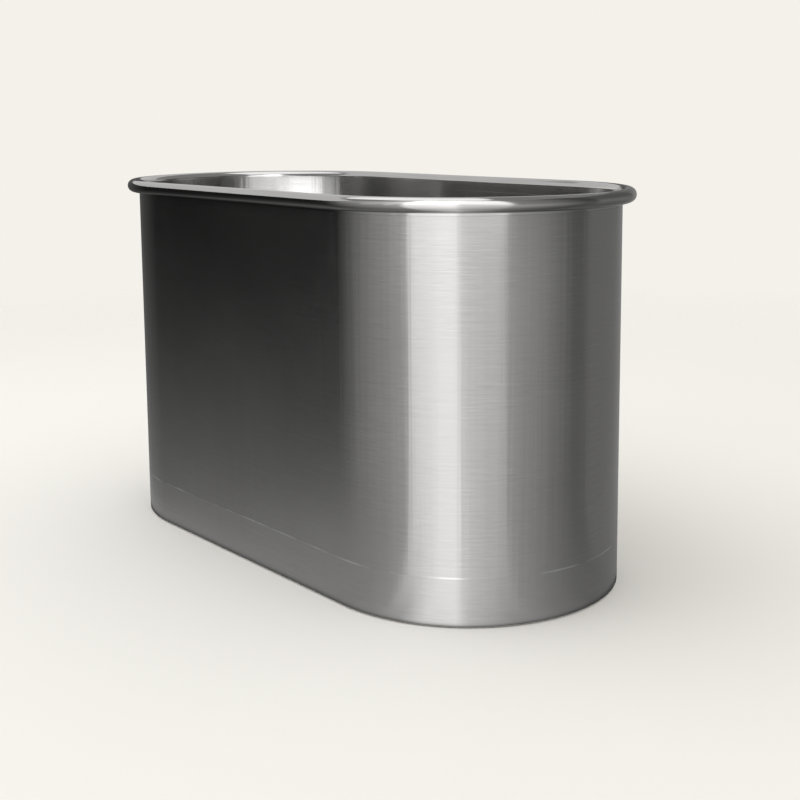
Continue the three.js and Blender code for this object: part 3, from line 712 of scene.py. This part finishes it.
# ---------------------------------------------------------------- ports, valves and hose tails
def port(line, x, z):
    """A chiller port through the wall, with its strainer inside the tub."""
    along = straight_axis((x, 0, z), (0, 1, 0))
    fitting = rounded([(BORE, 267.4), (FLANGE, 267.4), (FLANGE, 272.4), (PIPE, 272.4), (PIPE, 301.1),
                       (BORE, 301.1)], 0.6)
    piece(line + "_fitting", turn(fitting, along, FINE), turned_steel, [line + "_bulkhead"])
    piece(line + "_seal", ring(FIT, FLANGE, 272.7, 274.7, along, MEDIUM, 0.5), rubber, [line + "_gasket"])
    piece(line + "_ring", ring(FIT, FLANGE, 276.8, 278.8, along, MEDIUM, 0.4), turned_steel, [line + "_washer"])
    piece(line + "_nut", hexagon(NUT_ACROSS, 279.1, 287.1, FIT, along), turned_steel, [line + "_locknut"])
    front, back = 255.4, 256.9
    cup = rounded([(17.2, front), (23.8, 261.4), (23.8, 274.5), (22.4, 274.5), (22.4, 262.0), (17.2, back)], 1.2, 3)
    piece(line + "_strainer_cup", turn(cup, along, 80), turned_steel, [line + "_screen"])
    upright = Matrix.Translation((MM * x, 0, MM * z)) @ Matrix.Rotation(-math.pi / 2, 4, "X")
    face = cut_sheet([circle(17.6, FINE)] + slots_within(15.5, 3, 5.5), front, back, 0.3, upright)
    place(line + "_strainer_face", face, turned_steel, slot="polished_steel")


def valve_housing(line, along, up, out_face):
    """The valve's casting with its stem boss, and the gland nut on it; out_face is its half length."""
    shell = rounded([
        (FIT, -out_face), (SOCKET_END, -out_face), (SOCKET_END, -17.3), (19.6, -14.9), (19.6, 14.9),
        (SOCKET_END, 17.3), (SOCKET_END, out_face), (FIT, out_face)], 0.9, 3)
    boss = rounded([(STEM_FIT, 10), (10.6, 10), (10.2, 18.6), (9.3, 21), (9.3, 27.6), (STEM_FIT, 27.6)], 0.7, 3)
    piece(line + "_valve_casting", joined(turn(shell, along, FINE), turn(boss, up, COARSE)), cast_steel,
          [line + "_valve_body"])
    piece(line + "_gland_nut", hexagon(20, 27.9, 33.9, STEM_FIT, up, FINE), turned_steel, [line + "_valve_gland"])


def lever_outline():
    """A round eye over the stem, and an arm with a round end."""
    eye_r, half_width, arm_end = 12, 8, 87
    neck = math.asin(half_width / eye_r)
    eye = [neck + (TAU - 2 * neck) * i / 40 for i in range(41)]
    tip = [math.radians(a) for a in range(-90, 91, 10)]
    return ([(eye_r * math.cos(a), eye_r * math.sin(a)) for a in eye]
            + [(arm_end + half_width * math.cos(a), half_width * math.sin(a)) for a in tip])


def grip_shape(low, high, around=40):
    """A dipped grip: a soft bar, domed at its end and rolled at its mouth, with shallow finger grooves."""
    x0, x1 = 1000 * low.x, 1000 * high.x
    y_half, z_half = 500 * (high.y - low.y), 500 * (high.z - low.z)
    zc = 500 * (high.z + low.z)
    mouth, grooved, grooves = 0.1, 0.8, 4
    runs = [(0, 0.93), (0.012, 0.985), (0.04, 1.0), (0.07, 0.985), (mouth, 0.97)]
    for i in range(1, 29):
        t = mouth + grooved * i / 28
        runs.append((t, 0.975 + 0.02 * math.cos(TAU * grooves * (t - mouth) / grooved + math.pi)))
    runs += [(0.93, 0.97), (0.96, 0.9), (0.98, 0.78), (0.992, 0.6), (1.0, 0.35)]
    verts = []
    for t, width in runs:
        for k in range(around):
            a = TAU * k / around
            c, s = math.cos(a), math.sin(a)
            y = math.copysign(abs(c) ** 0.45, c) * (y_half - (1 - width) * 12)
            z = math.copysign(abs(s) ** 0.6, s) * (z_half - (1 - width) * 5)
            verts.append((x0 + (x1 - x0) * t, VALVE_Y + y, zc + z))
    caps = [tuple(range(around)), tuple(range(len(verts) - 1, len(verts) - around - 1, -1))]
    return verts, grid_faces(len(runs), around, False) + caps


def spindle_profile():
    """The valve's stem, threaded above the lever."""
    threads = [(3.5 if i % 2 else 3.15, 37.4 + 0.3 * i) for i in range(20)]
    return ([(NEARLY_ZERO, 15.3), (5, 15.3), (5, 34.2), (3.5, 34.2), (3.5, 37.2)] + threads
            + [(3.4, 43.5), (2.8, 44.3), (NEARLY_ZERO, 44.3)])


def lever(line, x, z, up):
    """The lever, its grip, its nut and the stem, which turn together."""
    body = line + "_lever"
    here = Matrix.Translation((MM * x, MM * VALVE_Y, MM * z))
    arm = cut_sheet([lever_outline(), circle(LEVER_FIT, 40)], 34.5, 37.5, 0.5, here)
    place(line + "_lever_arm", arm, mill_steel, [line + "_valve_lever"], body)
    piece(line + "_lever_grip", grip_shape(*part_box(line + "_valve_grip")), vinyl, [line + "_valve_grip"], body,
          sharp=50)
    piece(line + "_lever_bolt_nut", hexagon(14, 37.8, 42.8, LEVER_FIT, up, FINE), turned_steel,
          [line + "_valve_lever_nut"], body)
    piece(line + "_spindle", turn(spindle_profile(), up, 40, False), turned_steel, [line + "_valve_stem"], body)


def hose_tail(line, along, out_face):
    """A tail with three barbs, and the hexagon that it is screwed in by."""
    root, barb = 11.3, 13.7
    shoulder = out_face + 7.3
    tail = [(BORE, out_face - 13.7), (PIPE, out_face - 13.7), (PIPE, shoulder), (root, shoulder)]
    for i in range(3):
        start = shoulder + 9 * (i + 0.5)
        tail += [(root, start), (barb - 0.25, start + 0.1), (barb, start + 0.6), (root + 0.15, start + 8.8)]
    _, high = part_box(line + "_hose_tail")
    end = 1000 * high.y - VALVE_Y
    tail += [(root, end - 0.6), (root - 0.4, end), (9.9, end), (BORE, end - 0.4)]
    nut = hexagon(NUT_ACROSS, out_face + 0.3, shoulder, 12.5, along)
    piece(line + "_barbed_tail", joined(turn(tail, along, FINE), nut), turned_steel, [line + "_hose_tail"])


for line, (x, z) in LINES.items():
    if line != "drain":
        port(line, x, z)
    valve_along = straight_axis((x, VALVE_Y, z), (0, 1, 0))
    valve_up = straight_axis((x, VALVE_Y, z), (0, 0, 1))
    low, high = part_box(line + "_valve_body")
    out_face = 1000 * (high.y - low.y) / 2
    valve_housing(line, valve_along, valve_up, out_face)
    lever(line, x, z, valve_up)
    hose_tail(line, valve_along, out_face)

# CAD nodes that carry over, hidden inside the valves
for line in LINES:
    for part, material in (("valve_ball", turned_steel), ("valve_seat_inlet", ptfe), ("valve_seat_outlet", ptfe)):
        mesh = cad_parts[f"{line}_{part}"].data
        mesh.materials.clear()
        mesh.materials.append(material)

# ---------------------------------------------------------------- camera at the photograph's angle
# Angles in radians, place in metres; focal length and shift in pixels of a frame 800 wide
YAW, PITCH, ROLL = 0.90266, 0.14318, -0.01054
CAMERA_PLACE = Vector((2.011, -1.5463, 0.8275))
FRAME_WIDTH = 800
FOCAL = 1307.56
SHIFT_X, SHIFT_Y = 23.53, -97.02
SENSOR = 36

forward = Vector((-math.sin(YAW) * math.cos(PITCH), math.cos(YAW) * math.cos(PITCH), -math.sin(PITCH)))
level_right = Vector((math.cos(YAW), math.sin(YAW), 0))
level_up = level_right.cross(forward)
right = math.cos(ROLL) * level_right + math.sin(ROLL) * level_up
up = -math.sin(ROLL) * level_right + math.cos(ROLL) * level_up
camera = bpy.data.objects.new("camera", bpy.data.cameras.new("camera"))
scene.collection.objects.link(camera)
camera.matrix_world = Matrix((
    (right.x, up.x, -forward.x, CAMERA_PLACE.x), (right.y, up.y, -forward.y, CAMERA_PLACE.y),
    (right.z, up.z, -forward.z, CAMERA_PLACE.z), (0, 0, 0, 1)))
camera.data.sensor_width = SENSOR
camera.data.lens = SENSOR * FOCAL / FRAME_WIDTH
camera.data.shift_x = SHIFT_X / FRAME_WIDTH
camera.data.shift_y = SHIFT_Y / FRAME_WIDTH
camera.data.clip_end = 50
scene.camera = camera

# ---------------------------------------------------------------- studio, in metres
PALE = (0.905, 0.880, 0.831)
world = bpy.data.worlds.new("studio")
scene.world = world
world.use_nodes = True
world.node_tree.nodes["Background"].inputs[0].default_value = (*PALE, 1)
world.node_tree.nodes["Background"].inputs[1].default_value = 1.0
scene.view_settings.view_transform = "Standard"


def stage_mesh(name, verts, faces, material):
    mesh = bpy.data.meshes.new(name)
    mesh.from_pydata(verts, [], faces)
    mesh.shade_smooth()
    mesh.materials.append(material)
    obj = bpy.data.objects.new(name, mesh)
    scene.collection.objects.link(obj)
    return obj


def floor_finish():
    """A pale floor that fades into the backdrop far out."""
    s = Shader("studio_floor")
    s.set(Base_Color=(0.93, 0.925, 0.915, 1), Roughness=0.9)
    s.bsdf.inputs["Specular IOR Level"].default_value = 0.1
    reach = s.node("ShaderNodeVectorMath", operation="LENGTH")
    s.link(s.where, reach.inputs[0])
    fade = s.span(reach.outputs["Value"], 2.2, 4.0, 0.0, 1.0)
    clear = s.node("ShaderNodeBsdfTransparent")
    mixed = s.node("ShaderNodeMixShader")
    s.link(fade, mixed.inputs[0])
    s.link(s.bsdf.outputs[0], mixed.inputs[1])
    s.link(clear.outputs[0], mixed.inputs[2])
    s.link(mixed.outputs[0], s.out.inputs[0])
    return s.material


FLOOR_RADIUS = 4.2
FLOOR_SEGMENTS = 96
disc = [(x, y, -0.0005) for x, y in circle(FLOOR_RADIUS, FLOOR_SEGMENTS)]
stage_mesh("studio_floor", disc, [tuple(range(FLOOR_SEGMENTS))], floor_finish())

# Studio surround that only the metal sees: cards standing round the tub, and mats on the ground at its foot.
# CARDS holds an angle round the tub, a card's brightness and its height.
# UPPER holds an angle and how many times brighter the card is above the rim.
# MATS holds a place along the foot and a brightness: the front side is -130 to -90, the right end -90 to 90, the
# rear side 90 to 130 and the left end 130 to 230.
CARDS = [(-180, 0.10, 0.86), (-146, 0.012, 0.86), (-118, 0.012, 0.88), (-101, 0.10, 0.92), (-68, 0.34, 1.3),
         (-57, 0.48, 2.0), (-54.5, 1.25, 2.0), (-34, 1.40, 2.0), (-32, 0.90, 2.0), (-13.5, 0.76, 1.6),
         (-11, 0.46, 1.6), (5, 0.31, 1.6), (21, 0.12, 1.6), (27, 0.11, 1.6), (31, 0.18, 1.4), (62, 0.18, 1.2),
         (76, 0.26, 1.1), (94, 0.26, 1.0), (101, 0.12, 1.0), (113, 0.12, 0.95), (121, 0.46, 0.95),
         (146, 0.46, 0.9), (160, 0.08, 0.86), (180, 0.10, 0.86)]
UPPER = [(-180, 1), (-119, 1), (-108, 1.7), (-96, 1.7), (-68, 1.7), (-54, 2.2), (-51, 1.8), (-36, 1.6),
         (-31, 1.7), (-13, 1.8), (-10, 0.6), (24, 0.6), (60, 0.6), (130, 0.8), (160, 1), (180, 1)]
MATS = [(-130, 0.28), (-90, 0.30), (-77, 0.36), (-66, 0.50), (-56, 1.05), (-45, 1.15), (-40, 0.75), (-24, 0.42),
        (-2, 0.24), (14, 0.17), (60, 0.20), (90, 0.26), (130, 0.36), (180, 0.30), (230, 0.28)]
CARD_RADIUS = 0.8
UPPER_FROM = 0.77
FOOT_RADIUS = 0.28
FOOT_LEVEL = 0.03
# Rows of the surround: radius, share of the card's height, and share of the mat in the brightness
SURROUND = [(CARD_RADIUS, 1.0, 0), (CARD_RADIUS, 0.8, 0), (CARD_RADIUS, 0.65, 0), (CARD_RADIUS, 0.5, 0.04),
            (CARD_RADIUS, 0.36, 0.1), (CARD_RADIUS, 0.2, 0.2), (CARD_RADIUS, 0.04, 0.36), (CARD_RADIUS, 0, 0.4),
            (0.65, 0, 0.47), (0.535, 0, 0.56), (0.44, 0, 0.68), (0.367, 0, 0.8), (0.32, 0, 0.95),
            (0.29, 0, 1.0), (0.2768, 0, 0.1)]


def between(stops, place, column=1):
    """A table's value at a place between two of its stops."""
    for low, high in zip(stops, stops[1:]):
        if low[0] <= place <= high[0]:
            t = (place - low[0]) / (high[0] - low[0])
            return low[column] * (1 - t) + high[column] * t


def lap(cx, dx, dy):
    """The place along the foot that MATS counts in."""
    if abs(dx) < 1e-9 and abs(cx) < HALF_STRAIGHT:
        return math.copysign(110 - 20 * cx / HALF_STRAIGHT, dy)
    if cx > 0:
        return math.degrees(math.atan2(dy, dx))
    return 130 + 100 * (math.degrees(math.atan2(dy, dx)) % 360 - 90) / 180


def glow_finish():
    """Light as bright as the mesh's own level at each point."""
    s = Shader("surround")
    level = s.node("ShaderNodeAttribute", attribute_name="level")
    glow = s.node("ShaderNodeEmission")
    s.link(level.outputs["Fac"], glow.inputs[1])
    glow.inputs[0].default_value = (1, 0.995, 0.985, 1)
    s.link(glow.outputs[0], s.out.inputs[0])
    return s.material


glow_material = glow_finish()


def only_reflected(obj):
    obj.visible_camera = False
    obj.visible_diffuse = False
    obj.visible_transmission = False
    obj.visible_volume_scatter = False


def lit_mesh(name, verts, faces, levels):
    """A stage mesh that only reflections see, with its brightness at each vertex."""
    obj = stage_mesh(name, verts, faces, glow_material)
    obj.data.attributes.new("level", "FLOAT", "POINT").data.foreach_set("value", levels)
    only_reflected(obj)
    obj.visible_shadow = False


verts, levels = [], []
for radius, share, mat in SURROUND:
    for cx, dx, dy in PLAN:
        angle = math.degrees(math.atan2(CARD_RADIUS * dy, MM * cx + CARD_RADIUS * dx))
        tall = between(CARDS, angle, 2)
        card = between(CARDS, angle) * (between(UPPER, angle) if share * tall > UPPER_FROM else 1)
        verts.append((MM * cx + radius * dx, radius * dy, 0.001 + tall * share))
        level = card * (1 - mat) + between(MATS, lap(cx, dx, dy)) * mat
        levels.append(level if radius > FOOT_RADIUS else FOOT_LEVEL)
lit_mesh("surround", verts, grid_faces(len(SURROUND), len(PLAN), False), levels)

# Ceiling that only the metal sees, brighter beyond the left end, with a bright panel over the front
CEILING_Z = 2.4
CEILING = [(-7, 0.62), (-1.5, 0.62), (-1.3, 0.25), (7, 0.25)]
CEILING_REACH = 7
PANEL = [(-1.2, -0.95), (0.12, -1.1), (1.1, -0.4), (1.1, -0.18), (-0.3, 0.66), (-1.25, 0.66)]
PANEL_DROP = 0.01
PANEL_LEVEL = 1.25
lit_mesh("ceiling", [(x, y, CEILING_Z) for y in (-CEILING_REACH, CEILING_REACH) for x, _ in CEILING],
         grid_faces(2, len(CEILING), False, False), [level for _, level in CEILING] * 2)
lit_mesh("panel", [(x, y, CEILING_Z - PANEL_DROP) for x, y in PANEL], [tuple(range(len(PANEL)))],
         [PANEL_LEVEL] * len(PANEL))


def area_lamp(name, location, aim, width, height, energy):
    lamp = bpy.data.lights.new(name, "AREA")
    lamp.shape = "RECTANGLE"
    lamp.size = width
    lamp.size_y = height
    lamp.energy = energy
    holder = bpy.data.objects.new(name, lamp)
    holder.location = location
    holder.rotation_euler = (Vector(aim) - Vector(location)).to_track_quat("-Z", "Y").to_euler()
    scene.collection.objects.link(holder)
    return holder


area_lamp("overhead", location=(-0.6, -0.9, 2.9), aim=(0, 0, 0.3), width=2.2, height=2.2, energy=18)

# Small lamps in the left end, for the light on its far wall: from and to along their line, and radiance
GLOW = [(-0.11, -0.04, 0.5), (-0.037, 0.022, 2.0), (0.025, 0.09, 0.75)]
GLOW_MID = Vector((-0.37, 0.0, 0.57))
GLOW_TURN = math.radians(41.6)
GLOW_ALONG = Vector((math.cos(GLOW_TURN), math.sin(GLOW_TURN), 0))
GLOW_AIM = Vector((-GLOW_ALONG.y, GLOW_ALONG.x, 0))
GLOW_HEIGHT = 0.24
for number, (start, end, radiance) in enumerate(GLOW):
    location = GLOW_MID + 0.5 * (start + end) * GLOW_ALONG
    width = end - start
    energy = 4 * radiance * width * GLOW_HEIGHT
    only_reflected(area_lamp(f"inside_{number}", location, location + GLOW_AIM, width, GLOW_HEIGHT, energy))
